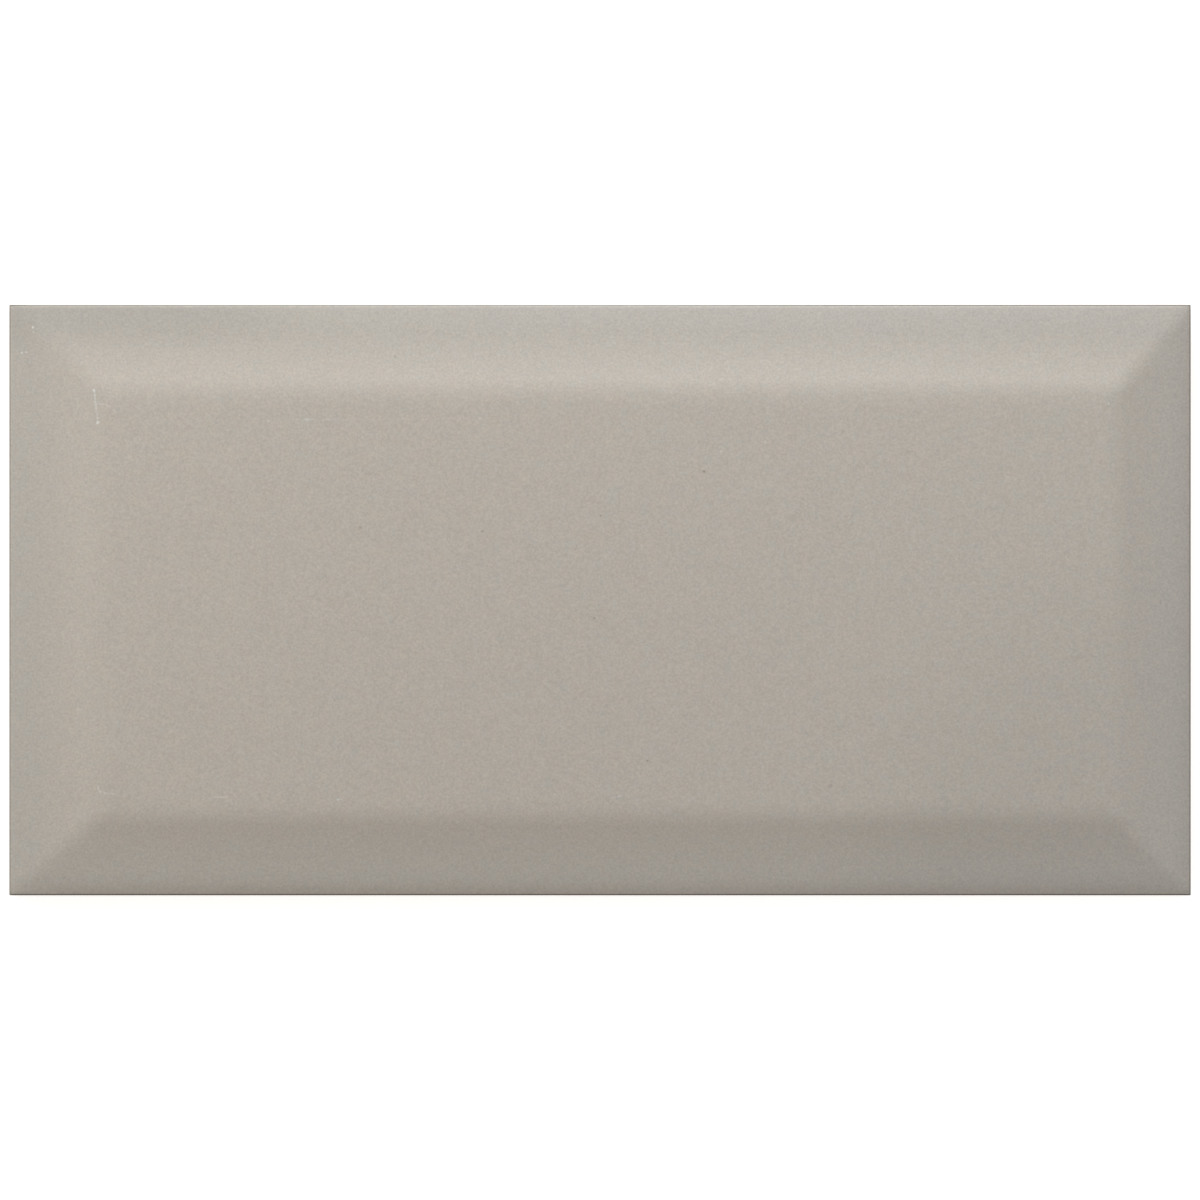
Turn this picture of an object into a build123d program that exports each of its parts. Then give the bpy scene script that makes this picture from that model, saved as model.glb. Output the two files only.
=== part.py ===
from build123d import *
import os
from math import cos, radians, sin

# Bevelled ceramic wall tile: one piece of clay, pressed, glazed on its face and fired. Millimetres.
# It lies on its back. The origin is the middle of the back, X runs along the length, Y across
# the width and Z out of the glazed face.

# Outline
length = 150.0
width = 75.0
thickness = 8.0  # from the back to the flat field in the middle of the face
rim_radius = 0.25  # rounding of the rim and of the four upright corners
foot_chamfer = 0.5  # at 45 degrees, where the sides meet the back

# Glazed face: a flat field, with a hollow bevel down to the rim on all four sides
bevel_width = 10.4  # in plan, from the side of the tile to the break into the field
shoulder_width = 3.5  # the outer part of the bevel, which rolls over towards the rim
break_slope = 20.5  # degrees below level, where the bevel leaves the field
hollow_slope = 10.0  # where the hollow gives way to the shoulder
rim_slope = 16.5  # where the shoulder reaches the side
arris_radius = 8.5  # the glaze softens the breaks and the mitres to this radius

# Keyed back: square pockets for the adhesive, with ribs between them
key_pitch = 15.0
key_rib = 3.0  # width of a rib at its crest
key_depth = 0.7
key_draft = 35.0  # degrees that the pocket walls lean, so that the tile leaves the press
key_corner_radius = 1.5
key_border = 5.0  # least width of the plain border round the pockets

# The face's sections run this far past the sides, and the outline then cuts them off
overrun = 4.0


def plan_run(upper_slope, lower_slope):
    """Width in plan of an arc of radius 1 that turns between the two slopes."""
    return abs(sin(radians(lower_slope)) - sin(radians(upper_slope)))


def bevel_curve(span):
    """The right-hand bevel of a section that is span wide: break, hollow, shoulder, overrun."""
    hollow_radius = (bevel_width - shoulder_width) / plan_run(break_slope, hollow_slope)
    shoulder_radius = shoulder_width / plan_run(rim_slope, hollow_slope)
    break_point = (span / 2 - bevel_width, thickness)
    downhill = (cos(radians(break_slope)), -sin(radians(break_slope)))
    hollow = JernArc(break_point, downhill, hollow_radius, break_slope - hollow_slope)
    shoulder = JernArc(hollow @ 1, hollow % 1, shoulder_radius, hollow_slope - rim_slope)
    tail = PolarLine(shoulder @ 1, overrun, direction=shoulder % 1, length_mode=LengthMode.HORIZONTAL)
    return [hollow, shoulder, tail]


def face_section(span):
    """Upright section under the glazed face, between the two opposite bevels."""
    right = bevel_curve(span)
    right.append(Line(right[-1] @ 1, ((right[-1] @ 1).X, 0)))
    left = [mirror(edge, about=Plane.YZ) for edge in right]
    field = Line(left[0] @ 0, right[0] @ 0)
    base = Line(left[-1] @ 1, right[-1] @ 1)
    return make_face([field, base, *right, *left])


def is_mitre(edge):
    """True for an edge that runs down a corner of the face at 45 degrees in plan."""
    way, place = edge.tangent_at(0.5), edge.position_at(0.5)
    outward = way.X * way.Y * place.X * place.Y > 0
    return outward and abs(way.Z) > 1e-3 and abs(abs(way.X) - abs(way.Y)) < 1e-3


def bevelled_face():
    """Block under the glazed face, larger than the tile, with its breaks and mitres softened."""
    lengthwise = extrude(Plane.XZ * face_section(length), width, both=True)
    crosswise = extrude(Plane.YZ * face_section(width), length, both=True)
    block_plan = Rectangle(length + 2 * overrun, width + 2 * overrun)
    block_plan = chamfer(block_plan.vertices(), overrun)
    block = lengthwise & crosswise & extrude(block_plan, thickness)
    breaks = block.faces().sort_by(Axis.Z)[-1].edges()
    mitres = block.edges().filter_by(is_mitre)
    return fillet(breaks + mitres, arris_radius)


def pressed_body():
    """The tile with a plain back: the bevelled face cut to the outline, with its edges eased."""
    body = bevelled_face() & extrude(Rectangle(length, width), thickness)
    foot = body.faces().sort_by(Axis.Z)[0].edges()
    body = chamfer(foot, foot_chamfer)
    sides = body.faces().filter_by(lambda face: abs(face.normal_at().Z) < 1e-6)
    eased = ShapeList(edge for side in sides for edge in side.edges() if edge.center().Z > 2 * foot_chamfer)
    return fillet(eased, rim_radius)


def key_count(span):
    """How many pockets fit across a span, with the border left at both ends."""
    return int((span - 2 * key_border + key_rib) // key_pitch)


def key_pockets():
    """The pockets of the keyed back, as solids to cut away."""
    mouth = RectangleRounded(key_pitch - key_rib, key_pitch - key_rib, key_corner_radius)
    pocket = extrude(mouth, key_depth, taper=key_draft)
    places = GridLocations(key_pitch, key_pitch, key_count(length), key_count(width))
    return [place * pocket for place in places]


tile = pressed_body() - key_pockets()
os.makedirs("parts", exist_ok=True)
export_step(tile, "parts/bevelled_tile.step")
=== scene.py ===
from math import cos, hypot, radians, sin, tan

import bpy
import numpy as np
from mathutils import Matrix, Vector, noise


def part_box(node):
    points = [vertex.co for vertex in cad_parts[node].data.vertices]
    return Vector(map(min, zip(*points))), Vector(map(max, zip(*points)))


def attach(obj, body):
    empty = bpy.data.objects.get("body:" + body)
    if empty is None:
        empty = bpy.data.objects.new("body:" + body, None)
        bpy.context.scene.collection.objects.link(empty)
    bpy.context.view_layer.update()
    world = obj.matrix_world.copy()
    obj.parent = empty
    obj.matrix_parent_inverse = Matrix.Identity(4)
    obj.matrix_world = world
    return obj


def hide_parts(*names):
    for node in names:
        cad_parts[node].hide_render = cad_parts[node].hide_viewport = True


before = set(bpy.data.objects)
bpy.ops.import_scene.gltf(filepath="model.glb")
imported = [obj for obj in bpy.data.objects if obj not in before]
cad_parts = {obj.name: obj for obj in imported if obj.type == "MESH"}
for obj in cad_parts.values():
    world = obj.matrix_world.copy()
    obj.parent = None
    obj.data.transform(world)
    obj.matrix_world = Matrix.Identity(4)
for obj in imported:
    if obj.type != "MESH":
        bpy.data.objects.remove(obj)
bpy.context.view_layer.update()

MM = 0.001

# The tile's sizes, as the solid has them: millimetres, and degrees below level
tile_low, tile_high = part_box("bevelled_tile")
LENGTH, WIDTH, THICKNESS = [(high - low) / MM for low, high in zip(tile_low, tile_high)]
BEVEL_WIDTH = 10.4
SHOULDER_WIDTH = 3.5
BREAK_SLOPE = 20.5
HOLLOW_SLOPE = 10.0
RIM_SLOPE = 16.5
ARRIS_RADIUS = 8.5
FOOT_CHAMFER = 0.5
KEY_PITCH = 15.0
KEY_RIB = 3.0
KEY_DEPTH = 0.7
KEY_DRAFT = 35.0
KEY_CORNER_RADIUS = 1.5
KEY_COLUMNS = 9
KEY_ROWS = 4
FIELD_INSET = BEVEL_WIDTH + ARRIS_RADIUS * tan(radians(BREAK_SLOPE / 2))

# What only this tile has: where its press set the field, the glaze's own surface, and its edge on the sides
FIELD_SHIFT = (1.41, -0.52)  # millimetres that the field lies off the tile's middle
GLAZE_EASE = 0.14  # share of slope over which the glaze eases the breaks at both ends of their arcs
GLAZE_RIM = 0.55  # radius of the rim under its glaze, in section
MITRE_RADIUS = 6.0
CORNER_RADIUS = 0.12  # of the upright corners, which are sharp
WAVES = ((21.0, 0.020), (8.0, 0.008))  # length and height of the glaze's unevenness
GLAZE_COAT = 0.15  # how far the bare clay lies behind the glaze on the sides
GLAZE_LINE = 2.6  # mean height of the glaze's edge above the back
GLAZE_RUNS = ((9.0, 0.55), (2.5, 0.25))  # length and height of its ups and downs
FACE_SEED = 3.0
RUNS_SEED = 17.0

# How closely the mesh follows the tile
SECTION_STEPS = 4000  # across a bevel, where its fall is added up
RIM_LINES = 9
BEVEL_LINES = 34
POCKET_LINES = (-0.25, 0, 0.33, 0.67, 1, 1.27)  # in widths of a pocket's wall, from its mouth inwards
LEAST_GAP = 0.1  # a line of the face that is nearer than this to a line of the key is left out
GLAZE_ROWS = (0.25, 0.5, 0.75, 0.92)  # shares of the way down a side from the rim to the glaze's edge
GLAZE_LIP = ((0.0, 0.0), (0.35, 0.07), (0.7, 0.3), (0.95, 0.7), (1.0, 1.0))  # round that edge, down and in
CLAY_ROWS = (0.03, 0.2, 0.4, 0.6, 0.8, 0.95)  # shares of the way from that edge to the foot
FOOT_TOP_EASE = (0.03, 0.02)  # how far down and in from its upper edge the foot's chamfer starts
FOOT_EASE = 0.04  # and how far up and out from its lower edge it stops

# Marks in the glaze, in millimetres from the middle of the face
SCRATCHES = (  # start, end, half width, strength
    ((-64.2, 26.7), (-63.7, 22.5), 0.15, 0.27),  # in the upper left corner of the field, with a branch
    ((-63.9, 24.9), (-62.8, 24.8), 0.15, 0.16),
    ((-62.8, 24.8), (-62.0, 24.5), 0.15, 0.14),
    ((-61.6, 24.2), (-61.5, 23.7), 0.15, 0.24),
    ((-73.0, 31.4), (-72.6, 31.5), 0.14, 0.25),  # on the left bevel
    ((-37.6, 22.9), (-36.3, 22.9), 0.15, 0.20),  # rubbed line along the upper edge of the field
    ((-34.6, 22.9), (-34.1, 22.9), 0.14, 0.14),
    ((-42.3, 22.7), (-41.9, 22.7), 0.14, 0.30),
    ((-15.5, 23.0), (-15.0, 23.0), 0.15, 0.18),
    ((-39.3, 22.9), (-13.9, 23.0), 0.12, 0.05),
    ((-63.7, -23.6), (-63.6, -24.3), 0.16, 0.20),  # hooked, in the lower left corner of the field
    ((-63.6, -24.3), (-63.2, -24.3), 0.16, 0.24),
    ((-63.0, -24.5), (-61.4, -24.6), 0.15, 0.18),
    ((-49.0, -25.0), (-47.1, -25.0), 0.14, 0.14),  # rubbed line along the lower edge of the field
    ((-33.4, -25.3), (-32.7, -25.3), 0.15, 0.28),
    ((-10.7, -25.2), (-10.3, -25.2), 0.15, 0.32),
    ((1.5, -25.1), (3.3, -24.7), 0.12, 0.15),
)
CHIPS = (  # middle, radius, strength
    ((-64.2, 26.6), 0.24, 0.45),
    ((-64.0, 26.0), 0.19, 0.55),
    ((-63.7, 22.5), 0.28, 0.52),
    ((-72.0, 34.6), 0.19, 0.46),
    ((-71.9, 34.0), 0.17, 0.25),
    ((-73.4, 31.4), 0.18, 0.60),
    ((-5.7, -24.7), 0.17, 0.28),
    ((21.0, 20.1), 0.18, 0.30),
    ((15.4, 18.8), 0.18, 0.45),
    ((64.5, 24.9), 0.18, 0.45),
)
PINHOLES = (  # middle, radius, strength
    ((29.2, -23.6), 0.38, 0.18),
    ((-30.4, 9.2), 0.28, 0.16),
    ((13.2, 16.3), 0.21, 0.46),
    ((0.1, 10.7), 0.19, 0.32),
    ((-0.7, -2.3), 0.20, 0.26),
    ((-14.9, 8.7), 0.20, 0.31),
    ((6.0, -20.4), 0.21, 0.33),
    ((-26.0, 30.9), 0.20, 0.26),
)

# The glaze: colours in display levels of 0 to 255, sizes in millimetres, the sides lower, upper, left, right
COOL_GLAZE = (174.8, 169.2, 161.0)
WARM_GLAZE = (179.2, 169.8, 158.0)
WARMTH_GRAIN = 1.06
GLAZE_GRAINS = (0.27, 0.75, 3.2)  # fine, medium and coarse
GLAZE_SWINGS = (0.19, 0.05, 0.018)  # share by which each of them lightens and darkens the glaze
OUTER_GLAZE = (162.0, 158.5, 152.0)  # on the bevels, more and more towards the rim
OUTER_BAND = (9.8, 0.0)  # distances in from the side between which a colour grows
OUTER_SHARE = 0.5
# Painted shade: the darker rim colour below stands partly for the shade on the rims turned away from the
# lamps
RIM_GLAZE_AND_SHADE = (144.0, 130.0, 117.0)
RIM_BAND = (2.2, 0.1)
RIM_TINT_AND_SHADE = (0.29, 0.03, 0.0, 0.08)  # how far each side's rim has that colour: partly the glaze's own darker rim, partly painted shade, strongest on the lower rim and next on the right, which face away from the lamps
RIM_BLEND = 7.0  # length of a long side over which it changes towards a corner
MITRE_BLEND = 0.5  # and how far past the mitre that ends
MIDDLE_BLEND = 5.0  # opposite sides' values change this far either side of the tile's middle
# Painted shade: shading of the bevels and corners that the lamps don't give, laid into the glaze colour
PAINTED_SHADE_GLAZE = (110.0, 108.0, 104.0)
UPPER_LEFT_PAINTED_SHADE = (-75.0, 37.5), 42.0, 0.16  # painted shade along the upper edge: middle, radius, strength
UPPER_BANDS = ((7.0, 0.5), (0.1, 0.5))  # where it grows towards the edge, and where it ends short of it
LOWER_RIGHT_PAINTED_SHADE = (75.0, -37.5), 52.0, 0.095  # and painted shade in the lower right corner, less on its short side
SHORT_SIDE_BAND = (12.0, 8.0)
SHORT_SIDE_EASE = 1.0
SHORT_SIDE_SPARED = 0.75  # share of that shade that the short side goes without
ARRIS_GLAZE = (80.0, 69.0, 55.0)
ARRIS_BAND = (0.24, 0.09)
ARRIS_DROP = (0.55, 0.05)  # depths below the rim between which the brown fades out
ARRIS_BROWN_AND_SHADE = (0.95, 0.62, 0.42, 0.6)  # how far the clay shows brown through each side's arris, with painted shade: darkest on the lower arris, which faces away from the lamps, lightest on the left
ARRIS_BLEND = 0.5
ARRIS_RAG = 1.6, 0.25  # grain and height of the unevenness of the brown's lower edge
PALE_ARRIS = (-73.2, 20.0)  # from where to where along its upper edge the arris is paler: a painted highlight where that edge catches the lamps
PALE_EASE = (0.8, 20.0)  # and how softly that starts and ends
PALE_BAND = (1.2, 0.3)
PALE_SHARE = 0.4
GLAZE_SPECKS = 2.2, 0.17  # spacing and radius
DARK_SPECK = (96.0, 88.0, 78.0)
PALE_SPECK = (226.0, 223.0, 217.0)
SCUFF = (222.0, 225.0, 224.0)
PINHOLE = (70.0, 64.0, 57.0)
GLAZE_ROUGHNESS = 0.50
GLAZE_RELIEF = 0.012

# The bare clay, in the same units
PALE_CLAY = (209.0, 194.0, 174.0)
DEEP_CLAY = (200.0, 183.0, 161.0)
CLAY_BLOTCH = (184.0, 164.0, 140.0)
CLAY_GRAINS = (0.25, 1.6, 18.0)
CLAY_SWING = 0.11
CLAY_SPECKS = 1.9, 0.18
CLAY_SPECK = (120.0, 92.0, 70.0)
CLAY_PIT = (132.0, 112.0, 92.0)
CLAY_ROUGHNESS = 0.78
CLAY_RELIEF = 0.05

# The photograph's frame, in its own pixels
FRAME_PIXELS = 1200.0
TILE_LEFT, TILE_RIGHT = 9.3, 1190.7
CAMERA_DISTANCE = 3000.0  # millimetres above the rim

# Studio: metres, watts and linear colours
LAMPS = {  # degrees past +X and above level, distance, power, colour
    "key_lamp": (81.5, 22.1, 0.265, 0.402, (0.89, 0.935, 0.99)),
    "left_lamp": (164.0, 25.3, 0.265, 0.143, (0.96, 0.965, 0.955)),
    "right_lamp": (-18.0, 45.0, 0.16, 0.0065, (0.25, 0.55, 1.0)),
}
LAMP_SIZE = 0.05
WHITE = (1.0, 1.0, 1.0, 1.0)
WORLD_COLOR = (1.0, 0.976, 0.945, 1.0)
WORLD_LIGHT = 0.653
FLOOR_REACH = 4.0
FLOOR_COLOR = (0.8, 0.8, 0.8, 1.0)
FLOOR_ROUGHNESS = 0.9
FLOOR_GLOW = 0.6


def soft_max(first, second, blend):
    """The larger of two values, rounded off over a band as high as blend."""
    overlap = np.maximum(0, 1 - np.abs(first - second) / np.maximum(blend, 1e-9))
    return np.maximum(first, second) + blend / 4 * overlap**2


def slope_sine(inset):
    """Sine of the face's slope at a distance in from the side. An arc of the section is straight in it."""
    slopes = [sin(radians(slope)) for slope in (RIM_SLOPE, HOLLOW_SLOPE, BREAK_SLOPE)]
    bevel = np.interp(inset, (0, SHOULDER_WIDTH, BEVEL_WIDTH), slopes)
    soft_break = soft_max((FIELD_INSET - inset) / ARRIS_RADIUS, 0, GLAZE_EASE)
    round_rim = 1 - inset / GLAZE_RIM
    return np.maximum(-soft_max(-bevel, -soft_break, GLAZE_EASE / 2), round_rim)


SECTION_REACH = FIELD_INSET + GLAZE_EASE * ARRIS_RADIUS
section_inset = SECTION_REACH * np.linspace(0, 1, SECTION_STEPS + 1) ** 2
section_sine = slope_sine(section_inset)
section_cosine = np.sqrt(1 - section_sine**2)
mean_slope = (section_sine[1:] + section_sine[:-1]) / (section_cosine[1:] + section_cosine[:-1])
section_fall = np.append(np.cumsum((np.diff(section_inset) * mean_slope)[::-1])[::-1], 0)
RIM_HEIGHT = float(THICKNESS - section_fall[0])


def face_fall(inset_x, inset_y):
    """How far the glazed face lies below the field, with the mitres softened."""
    falls, blend = [], MITRE_RADIUS
    for inset in (inset_x, inset_y):
        sine = np.minimum(slope_sine(inset), sin(radians(BREAK_SLOPE)))
        blend = blend * sine / np.sqrt(1 - sine**2)
        falls.append(np.interp(inset, section_inset, section_fall))
    return soft_max(*falls, blend)


def draw_corner(along, across, radius, square_from):
    """Draws the square shells round a corner into arcs, which ease back to squares past the radius."""
    reach = np.maximum(along, across)
    in_corner = (along > 0) & (across > 0)
    pull = np.where(in_corner, reach / np.maximum(np.hypot(along, across), 1e-9), 1)
    ease = np.clip((square_from - reach) / (square_from - radius), 0, 1)
    scale = 1 + (pull - 1) * ease
    return along * scale, across * scale


def grid_lines(span, pockets):
    """Places of the mesh's lines across a span: close at the rim, even on the bevel, fitted to the key."""
    rim = GLAZE_RIM * (1 - np.sin(np.radians(np.linspace(90, RIM_SLOPE, RIM_LINES))))
    bevel = np.linspace(rim[-1], SECTION_REACH, BEVEL_LINES)
    face = span / 2 - np.append(rim, bevel[1:])
    mouth = (KEY_PITCH - KEY_RIB) / 2
    core = mouth - KEY_CORNER_RADIUS
    wall = KEY_DEPTH * tan(radians(KEY_DRAFT))
    half = np.append(mouth - wall * np.array(POCKET_LINES), (core / 2, core))
    cell = np.concatenate((half, -half, (0, KEY_PITCH / 2)))
    centres = KEY_PITCH * (np.arange(pockets) - (pockets - 1) / 2)
    key = np.append(centres[:, None] + cell, centres[0] - KEY_PITCH / 2)
    face = np.append(face, -face)
    clear = np.abs(face[:, None] - key).min(axis=1) > LEAST_GAP
    return np.sort(np.append(face[clear], key))


def uneven(points, wave_length, seed):
    """Smooth noise between about -1 and 1 at each point, with waves of the given length."""
    flat = points.reshape(-1, 3)
    values = [noise.noise(Vector((x / wave_length, y / wave_length, seed))) for x, y, _ in flat]
    return np.reshape(values, points.shape[:-1])


def glazed_face(lines_x, lines_y):
    """Points of the glazed face, as a grid."""
    x, y = np.meshgrid(lines_x, lines_y, indexing="ij")
    inset_x, inset_y = LENGTH / 2 - np.abs(x), WIDTH / 2 - np.abs(y)
    z = THICKNESS - face_fall(inset_x, inset_y)
    corner = CORNER_RADIUS
    along, across = draw_corner(corner - inset_x, corner - inset_y, corner, 2 * corner)
    x = np.sign(x) * (LENGTH / 2 - corner + along)
    y = np.sign(y) * (WIDTH / 2 - corner + across)
    x = x + FIELD_SHIFT[0] * np.clip(inset_x / SECTION_REACH, 0, 1)
    y = y + FIELD_SHIFT[1] * np.clip(inset_y / SECTION_REACH, 0, 1)
    points = np.stack((x, y, z), axis=-1)
    for wave_length, height in WAVES:
        points[..., 2] += height * uneven(points, wave_length, FACE_SEED)
    return points


def keyed_back(lines_x, lines_y):
    """Points of the back, as a grid: border and ribs lie level, and the pockets go up into the tile."""
    plan, reach = [], []
    core = (KEY_PITCH - KEY_RIB) / 2 - KEY_CORNER_RADIUS
    for lines, span, pockets in ((lines_x, LENGTH, KEY_COLUMNS), (lines_y, WIDTH, KEY_ROWS)):
        inset = span / 2 - np.abs(lines)
        foot = FOOT_CHAMFER * np.clip(1 - inset / (4 * FOOT_CHAMFER), 0, 1)
        lines = lines - np.sign(lines) * foot
        last = (pockets - 1) / 2
        centre = KEY_PITCH * (np.clip(np.round(lines / KEY_PITCH + last), 0, pockets - 1) - last)
        plan.append((lines, centre))
        reach.append(np.abs(lines - centre) - core)
    along, across = np.meshgrid(*reach, indexing="ij")
    wall = (KEY_CORNER_RADIUS - np.maximum(along, across)) / tan(radians(KEY_DRAFT))
    z = soft_max(0, -soft_max(-wall, -KEY_DEPTH, KEY_DEPTH / 4), KEY_DEPTH / 4)
    along, across = draw_corner(along, across, KEY_CORNER_RADIUS, KEY_PITCH / 2 - core)
    (x, centre_x), (y, centre_y) = plan
    x = centre_x[:, None] + np.sign(x - centre_x)[:, None] * (core + along)
    y = centre_y + np.sign(y - centre_y) * (core + across)
    return np.stack((x, y, z), axis=-1)


def border(grid):
    """The points round the edge of a grid, in order, anticlockwise from its first point."""
    return np.concatenate((grid[:-1, 0], grid[-1, :-1], grid[:0:-1, -1], grid[0, :0:-1]))


def side_rows(rim):
    """Rows of points down the sides from the rim, glaze above clay, and how many of the rows are glazed."""
    core = np.array((LENGTH / 2 - CORNER_RADIUS, WIDTH / 2 - CORNER_RADIUS))
    outward = rim[:, :2] - np.clip(rim[:, :2], -core, core)
    outward = outward / np.linalg.norm(outward, axis=1, keepdims=True)
    line = GLAZE_LINE + sum(height * uneven(rim, length, RUNS_SEED) for length, height in GLAZE_RUNS)
    rows = []

    def row(height, inset):
        heights = np.broadcast_to(height, len(rim))
        rows.append(np.column_stack((rim[:, :2] - outward * inset, heights)))

    for share in GLAZE_ROWS:
        row(rim[:, 2] + (line + GLAZE_COAT - rim[:, 2]) * share, 0)
    for drop, inset in GLAZE_LIP:
        row(line + GLAZE_COAT * (1 - drop), GLAZE_COAT * inset)
    glazed = len(rows)
    shoulder = FOOT_CHAMFER - GLAZE_COAT
    for share in CLAY_ROWS:
        row(line + (shoulder - line) * share, GLAZE_COAT)
    drop, inset = FOOT_TOP_EASE
    row(shoulder - drop, GLAZE_COAT + inset)
    row(FOOT_EASE, FOOT_CHAMFER - FOOT_EASE)
    return rows, glazed


def quads(numbers):
    """Faces between neighbouring rows and columns of a grid of vertex numbers."""
    corners = (numbers[:-1, :-1], numbers[1:, :-1], numbers[1:, 1:], numbers[:-1, 1:])
    return np.stack(corners, axis=-1).reshape(-1, 4)


def add_object(name, data):
    """A new object in the scene."""
    thing = bpy.data.objects.new(name, data)
    bpy.context.scene.collection.objects.link(thing)
    return thing


def make_tile():
    """One closed mesh: glazed face, sides and keyed back. Its first material is glaze, its second clay."""
    lines_x, lines_y = grid_lines(LENGTH, KEY_COLUMNS), grid_lines(WIDTH, KEY_ROWS)
    face, back = glazed_face(lines_x, lines_y), keyed_back(lines_x, lines_y)
    rows, glazed = side_rows(border(face))
    face_numbers = np.arange(face[..., 0].size).reshape(face.shape[:2])
    back_numbers = face_numbers + face_numbers.size
    row_numbers = 2 * face_numbers.size + np.arange(len(rows) * len(rows[0])).reshape(len(rows), -1)
    wall = np.vstack((border(face_numbers), row_numbers, border(back_numbers)))
    wall = np.column_stack((wall, wall[:, 0]))
    glaze_faces = np.append(quads(face_numbers), quads(wall[:glazed + 1]), axis=0)
    clay_faces = np.append(quads(wall[glazed:]), quads(back_numbers)[:, ::-1], axis=0)
    points = np.concatenate((face.reshape(-1, 3), back.reshape(-1, 3), *rows)) * MM
    mesh = bpy.data.meshes.new("wall_tile")
    mesh.from_pydata(points.tolist(), [], np.append(glaze_faces, clay_faces, axis=0).tolist())
    mesh.polygons.foreach_set("material_index", [0] * len(glaze_faces) + [1] * len(clay_faces))
    mesh.shade_smooth()
    mesh.update()
    return add_object("wall_tile", mesh)


def linear(color):
    """A colour given in display levels of 0 to 255, as the linear colour that a shader takes."""
    levels = [level / 255 for level in color]
    return *(level / 12.92 if level < 0.04 else ((level + 0.055) / 1.055) ** 2.4 for level in levels), 1.0


class Graph:
    """A material's or the world's nodes, each made and wired in one call."""

    def __init__(self, owner):
        owner.use_nodes = True
        self.tree = owner.node_tree

    def wire(self, node, sockets):
        """Links or sets a node's inputs, by name or number."""
        for key, value in sockets.items():
            if isinstance(value, bpy.types.NodeSocket):
                self.tree.links.new(value, node.inputs[key])
            else:
                node.inputs[key].default_value = value

    def add(self, kind, sockets, **settings):
        node = self.tree.nodes.new("ShaderNode" + kind)
        for name, value in settings.items():
            setattr(node, name, value)
        self.wire(node, sockets)
        return node

    def math(self, operation, *values):
        return self.add("Math", dict(enumerate(values)), operation=operation).outputs[0]

    def chain(self, operation, *values):
        """One operation on several values, taken two at a time."""
        result = values[0]
        for value in values[1:]:
            result = self.math(operation, result, value)
        return result

    def fade(self, value, start, end, low=0.0, high=1.0):
        """Goes smoothly from low to high as the value goes from start to end."""
        ends = {"Value": value, "From Min": start, "From Max": end, "To Min": low, "To Max": high}
        return self.add("MapRange", ends, interpolation_type="SMOOTHSTEP").outputs["Result"]

    def mix(self, share, first, second, blend="MIX"):
        """The first colour, with a share of the second laid on it."""
        sockets = {0: share, 6: first, 7: second}
        return self.add("Mix", sockets, data_type="RGBA", blend_type=blend).outputs[2]

    def place(self):
        """Where a point lies on the tile, in millimetres."""
        metres = self.add("TexCoord", {}).outputs["Object"]
        return self.add("VectorMath", {0: metres, "Scale": 1 / MM}, operation="SCALE").outputs[0]

    def grain(self, place, size, detail=1.0):
        """Noise of 0 to 1, in grains about size millimetres across."""
        return self.add("TexNoise", {"Vector": place, "Scale": 1 / size, "Detail": detail}).outputs["Fac"]

    def tone(self, grains, swings):
        """A brightness of 1, made lighter and darker by each grain's own swing."""
        brightness = 1.0
        for grain, swing in zip(grains, swings):
            darkest = self.math("SUBTRACT", brightness, swing)
            brightness = self.math("MULTIPLY_ADD", grain, 2 * swing, darkest)
        return brightness

    def specks(self, place, spacing, radius):
        """1 inside round specks, one to a cell, and 0 between them, with random numbers for each cell."""
        cells = self.add("TexVoronoi", {"Vector": place, "Scale": 1 / spacing})
        inside = self.fade(cells.outputs["Distance"], radius / spacing, 0.5 * radius / spacing)
        return inside, self.add("SeparateColor", {0: cells.outputs["Color"]}).outputs

    def chosen(self, inside, chance, share, strength):
        """The specks on a share of the cells, as strong as given."""
        return self.math("MULTIPLY", inside, self.fade(chance, share, 0.0, 0.0, strength))

    def distance(self, place, point):
        """How far a place on the face lies from a point, in plan."""
        return self.add("VectorMath", {0: place, 1: (*point, 0)}, operation="DISTANCE").outputs["Value"]

    def spot(self, place, middle, radius, strength):
        """A round mark on the face, as strong as given in its middle."""
        return self.fade(self.distance(place, middle), radius, 0.5 * radius, 0.0, strength)

    def stroke(self, place, start, end, half_width, strength):
        """A slender mark on the face: an ellipse, where the distances to both its ends have a small sum."""
        length = (Vector(end) - Vector(start)).length
        outer = 2 * hypot(length / 2, half_width)
        reach = self.math("ADD", self.distance(place, start), self.distance(place, end))
        return self.fade(reach, outer, (outer + length) / 2, 0.0, strength)

    def seen(self):
        """1 for rays from the camera, also mirrored or transmitted ones, and 0 for those that give light."""
        rays = self.add("LightPath", {}).outputs
        kinds = ("Is Camera Ray", "Is Glossy Ray", "Is Transmission Ray")
        return self.chain("MAXIMUM", *(rays[kind] for kind in kinds))

    def finish(self, color, roughness, relief, depth):
        """Wires up the material's shader, with a relief that is depth millimetres high."""
        bump = self.add("Bump", {"Height": relief, "Distance": depth * MM, "Strength": 1.0})
        shader = self.tree.nodes["Principled BSDF"]
        self.wire(shader, {"Base Color": color, "Roughness": roughness, "Normal": bump.outputs[0]})


class FacePlace:
    """Where a shaded point lies on the tile and its face, in millimetres."""

    def __init__(self, graph):
        self.point = graph.place()
        self.plan = graph.add("VectorMath", {0: self.point, 1: (1, 1, 0)}, operation="MULTIPLY").outputs[0]
        self.x, self.y, self.z = graph.add("SeparateXYZ", {0: self.point}).outputs
        self.inset_x = graph.math("SUBTRACT", LENGTH / 2, graph.math("ABSOLUTE", self.x))
        self.inset_y = graph.math("SUBTRACT", WIDTH / 2, graph.math("ABSOLUTE", self.y))
        self.inset = graph.math("MINIMUM", self.inset_x, self.inset_y)
        self.past_mitre = graph.math("SUBTRACT", self.inset_y, self.inset_x)


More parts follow.
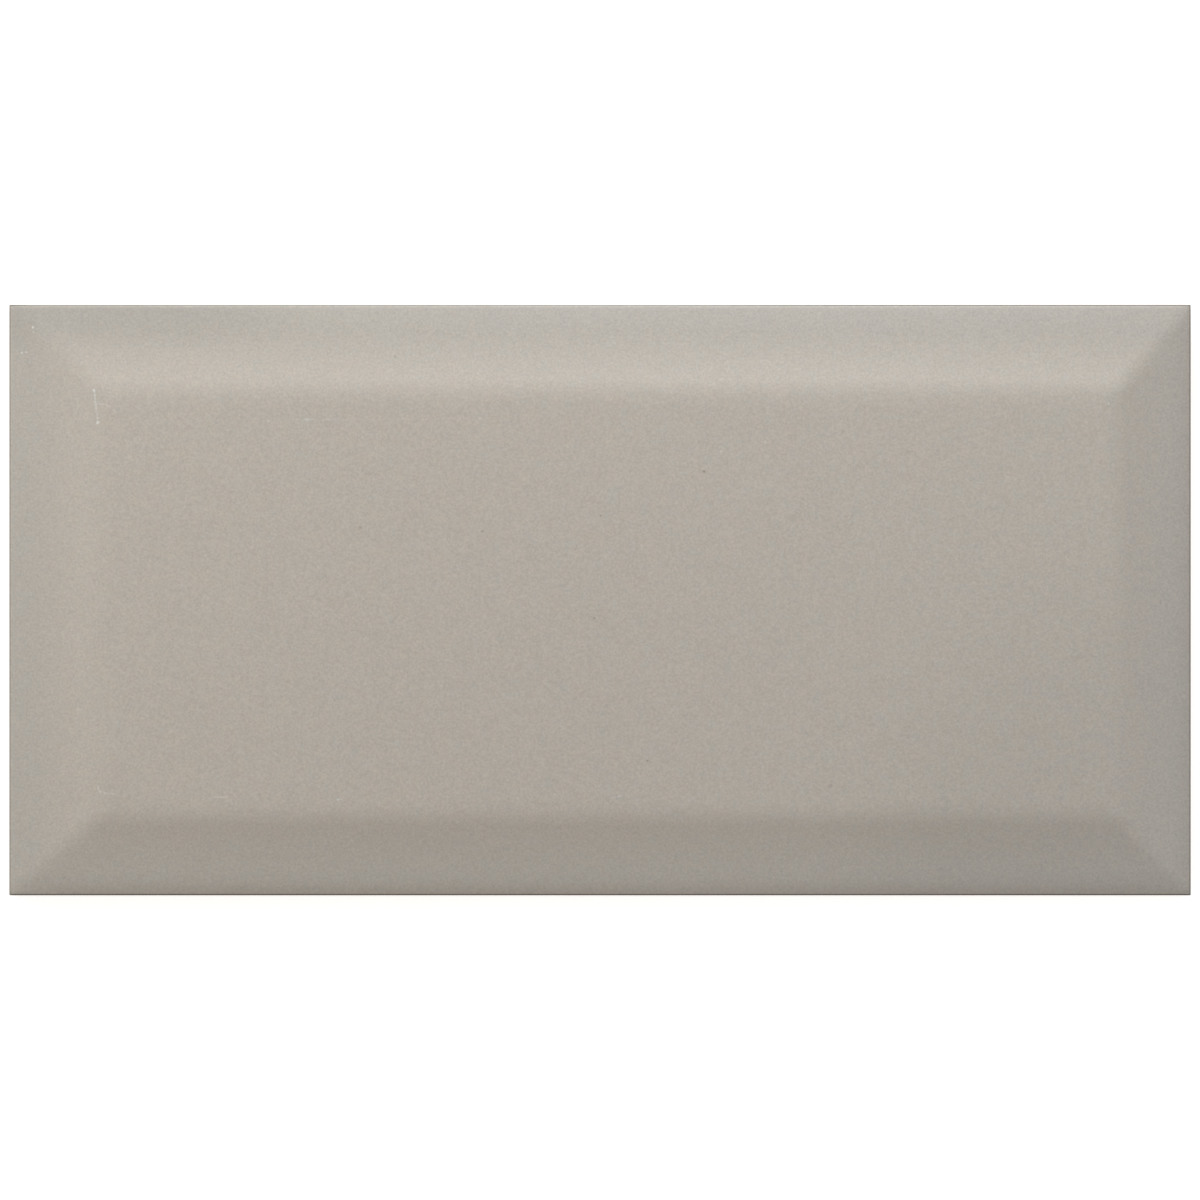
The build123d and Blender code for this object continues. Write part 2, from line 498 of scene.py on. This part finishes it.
def by_side(graph, at, blend, lower, upper, left, right):
    """One value for each side of the tile. At the corners they blend, over a length of the long sides."""
    on_end = graph.fade(at.past_mitre, -blend, MITRE_BLEND)
    long_sides = graph.fade(at.y, -MIDDLE_BLEND, MIDDLE_BLEND, lower, upper)
    ends = graph.fade(at.x, -MIDDLE_BLEND, MIDDLE_BLEND, left, right)
    return graph.math("MULTIPLY_ADD", on_end, graph.math("SUBTRACT", ends, long_sides), long_sides)


def painted_corner_shade(graph, at):
    """How much painted shade lies on the glaze: along the upper edge at the left, and in the lower right
    corner.
    """
    edge = graph.chain("MINIMUM", *(graph.fade(at.inset_y, *band) for band in UPPER_BANDS))
    upper_left = graph.math("MULTIPLY", graph.spot(at.plan, *UPPER_LEFT_PAINTED_SHADE), edge)
    past_mitre = graph.fade(at.past_mitre, -SHORT_SIDE_EASE, SHORT_SIDE_EASE)
    short_side = graph.math("MULTIPLY", past_mitre, graph.fade(at.inset_x, *SHORT_SIDE_BAND))
    elsewhere = graph.math("MULTIPLY_ADD", short_side, -SHORT_SIDE_SPARED, 1.0)
    lower_right = graph.math("MULTIPLY", graph.spot(at.plan, *LOWER_RIGHT_PAINTED_SHADE), elsewhere)
    return graph.math("MAXIMUM", upper_left, lower_right)


def brown_and_shaded_arris(graph, at):
    """How far the clay shows brown through the thin glaze of the arris, and raggedly just below it; on the
    sides turned from the lamps part of that brown is painted shade, and a painted highlight pales it along
    part of the upper edge.
    """
    (start, end), (start_ease, end_ease) = PALE_ARRIS, PALE_EASE
    after_start = graph.fade(at.x, start - start_ease, start + start_ease)
    before_end = graph.fade(at.x, end + end_ease, end - end_ease)
    upper_edge = graph.fade(at.y, *(WIDTH / 2 - inset for inset in PALE_BAND), 0.0, PALE_SHARE)
    # painted highlight: the upper arris is paler over this stretch
    painted_highlight = graph.chain("MULTIPLY", after_start, before_end, upper_edge)
    rag_grain, rag_height = ARRIS_RAG
    lowest = graph.math("SUBTRACT", at.z, rag_height)
    ragged = graph.math("MULTIPLY_ADD", graph.grain(at.point, rag_grain, 2.0), 2 * rag_height, lowest)
    near_rim = graph.fade(ragged, *(RIM_HEIGHT - drop for drop in ARRIS_DROP))
    arris = graph.math("MULTIPLY", graph.fade(at.inset, *ARRIS_BAND), near_rim)
    strength = by_side(graph, at, ARRIS_BLEND, *ARRIS_BROWN_AND_SHADE)
    return graph.chain("MULTIPLY", arris, graph.math("SUBTRACT", 1.0, painted_highlight), strength)


def glaze_material():
    """Satin taupe glaze: finely speckled, darker and cooler towards the rim, thin and brown on the arris;
    painted shade darkens the rims and arris turned from the lamps and two corners, and a painted highlight
    pales part of the upper arris.
    """
    material = bpy.data.materials.new("satin_glaze")
    graph = Graph(material)
    at = FacePlace(graph)
    grains = [graph.grain(at.point, size) for size in GLAZE_GRAINS]
    fine, medium = grains[:2]
    arris = brown_and_shaded_arris(graph, at)

    warmth = graph.fade(graph.grain(at.point, WARMTH_GRAIN, 3.0), 0.2, 0.8)
    color = graph.mix(warmth, linear(COOL_GLAZE), linear(WARM_GLAZE))
    color = graph.mix(graph.fade(at.inset, *OUTER_BAND, 0.0, OUTER_SHARE), color, linear(OUTER_GLAZE))
    # darker rim: partly the glaze's own tone, partly painted shade on the rims turned away from the lamps
    rim_tint_and_shade = by_side(graph, at, RIM_BLEND, *RIM_TINT_AND_SHADE)
    rim_tint_and_shade = graph.math("MULTIPLY", graph.fade(at.inset, *RIM_BAND), rim_tint_and_shade)
    color = graph.mix(rim_tint_and_shade, color, linear(RIM_GLAZE_AND_SHADE))
    # painted shade along the upper left edge and in the lower right corner
    color = graph.mix(painted_corner_shade(graph, at), color, linear(PAINTED_SHADE_GLAZE))
    color = graph.mix(1.0, color, graph.tone(grains, GLAZE_SWINGS), "MULTIPLY")
    # brown arris: thin glaze over the clay, with painted shade on the sides turned from the lamps
    color = graph.mix(arris, color, linear(ARRIS_GLAZE))

    inside, chances = graph.specks(at.point, *GLAZE_SPECKS)
    color = graph.mix(graph.chosen(inside, chances[0], 0.4, 0.16), color, linear(DARK_SPECK))
    color = graph.mix(graph.chosen(inside, chances[1], 0.15, 0.16), color, linear(PALE_SPECK))

    marks = [graph.stroke(at.plan, *scratch) for scratch in SCRATCHES]
    marks += [graph.spot(at.plan, *chip) for chip in CHIPS]
    broken = graph.fade(fine, 0.3, 0.6, 0.5, 1.15)
    scuffed = graph.math("MULTIPLY", graph.chain("MAXIMUM", *marks), broken)
    color = graph.mix(scuffed, color, linear(SCUFF))
    pits = graph.chain("MAXIMUM", *(graph.spot(at.plan, *pinhole) for pinhole in PINHOLES))
    color = graph.mix(pits, color, linear(PINHOLE))

    roughness = graph.math("MULTIPLY_ADD", medium, 0.16, GLAZE_ROUGHNESS)
    roughness = graph.math("MULTIPLY_ADD", scuffed, 0.3, roughness)
    roughness = graph.math("MULTIPLY_ADD", arris, 0.3, roughness)
    relief = graph.math("MULTIPLY_ADD", medium, 0.8, fine)
    graph.finish(color, roughness, relief, GLAZE_RELIEF)
    return material


def clay_material():
    """Fired clay, bare on the back and the foot of the sides: pale, grainy, and pitted here and there."""
    material = bpy.data.materials.new("fired_clay")
    graph = Graph(material)
    place = graph.place()
    fine, medium, broad = (graph.grain(place, size, 3.0) for size in CLAY_GRAINS)
    color = graph.mix(graph.fade(broad, 0.3, 0.7), linear(PALE_CLAY), linear(DEEP_CLAY))
    color = graph.mix(graph.fade(medium, 0.35, 0.75, 0.0, 0.35), color, linear(CLAY_BLOTCH))
    color = graph.mix(1.0, color, graph.tone([fine], [CLAY_SWING]), "MULTIPLY")
    inside, chances = graph.specks(place, *CLAY_SPECKS)
    color = graph.mix(graph.chosen(inside, chances[0], 0.35, 0.7), color, linear(CLAY_SPECK))
    pits = graph.chosen(inside, chances[1], 0.3, 1.0)
    color = graph.mix(graph.math("MULTIPLY", pits, 0.4), color, linear(CLAY_PIT))
    roughness = graph.math("MULTIPLY_ADD", medium, 0.15, CLAY_ROUGHNESS)
    relief = graph.math("MULTIPLY_ADD", medium, 0.6, fine)
    relief = graph.math("SUBTRACT", relief, graph.math("MULTIPLY", pits, 1.5))
    graph.finish(color, roughness, relief, CLAY_RELIEF)
    return material


def make_floor():
    """Pale floor that looks white and still takes the tile's shadow."""
    corners = [(-1, -1, 0), (1, -1, 0), (1, 1, 0), (-1, 1, 0)]
    mesh = bpy.data.meshes.new("floor")
    mesh.from_pydata([FLOOR_REACH * Vector(corner) for corner in corners], [], [(0, 1, 2, 3)])
    material = bpy.data.materials.new("white_floor")
    graph = Graph(material)
    shader = material.node_tree.nodes["Principled BSDF"]
    graph.wire(shader, {"Base Color": FLOOR_COLOR, "Roughness": FLOOR_ROUGHNESS, "Emission Color": WHITE})
    graph.wire(shader, {"Emission Strength": graph.math("MULTIPLY", graph.seen(), FLOOR_GLOW)})
    mesh.materials.append(material)
    return add_object("floor", mesh)


def make_world():
    """Even light from all round, white where it is seen."""
    world = bpy.data.worlds.new("studio")
    graph = Graph(world)
    background = world.node_tree.nodes["Background"]
    seen = graph.seen()
    color = graph.mix(seen, WORLD_COLOR, WHITE)
    strength = graph.math("MULTIPLY_ADD", seen, 1 - WORLD_LIGHT, WORLD_LIGHT)
    graph.wire(background, {"Color": color, "Strength": strength})
    return world


def area_light(name, compass, height, distance, power, color):
    """A round lamp that points at the tile, from a direction given in degrees past +X and above level."""
    light = bpy.data.lights.new(name, "AREA")
    light.shape = "DISK"
    light.size = LAMP_SIZE
    light.energy = power
    light.color = color
    compass, height = radians(compass), radians(height)
    way = Vector((cos(height) * cos(compass), cos(height) * sin(compass), sin(height)))
    lamp = add_object(name, light)
    lamp.location = distance * way
    lamp.rotation_euler = way.to_track_quat("Z", "Y").to_euler()
    lamp.visible_camera = False


def make_camera():
    """A camera straight above the tile, with the tile as wide in its frame as in the photograph."""
    camera = add_object("camera", bpy.data.cameras.new("camera"))
    frame_width = LENGTH * FRAME_PIXELS / (TILE_RIGHT - TILE_LEFT)
    camera.data.lens = camera.data.sensor_width * CAMERA_DISTANCE / frame_width
    camera.location = (0, 0, (RIM_HEIGHT + CAMERA_DISTANCE) * MM)
    return camera


tile = make_tile()
tile.data.materials.append(glaze_material())
tile.data.materials.append(clay_material())
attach(tile, "root")
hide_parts("bevelled_tile")

make_floor()
for lamp_name, lamp_values in LAMPS.items():
    area_light(lamp_name, *lamp_values)
bpy.context.scene.world = make_world()
bpy.context.scene.camera = make_camera()
bpy.context.scene.view_settings.view_transform = "Standard"
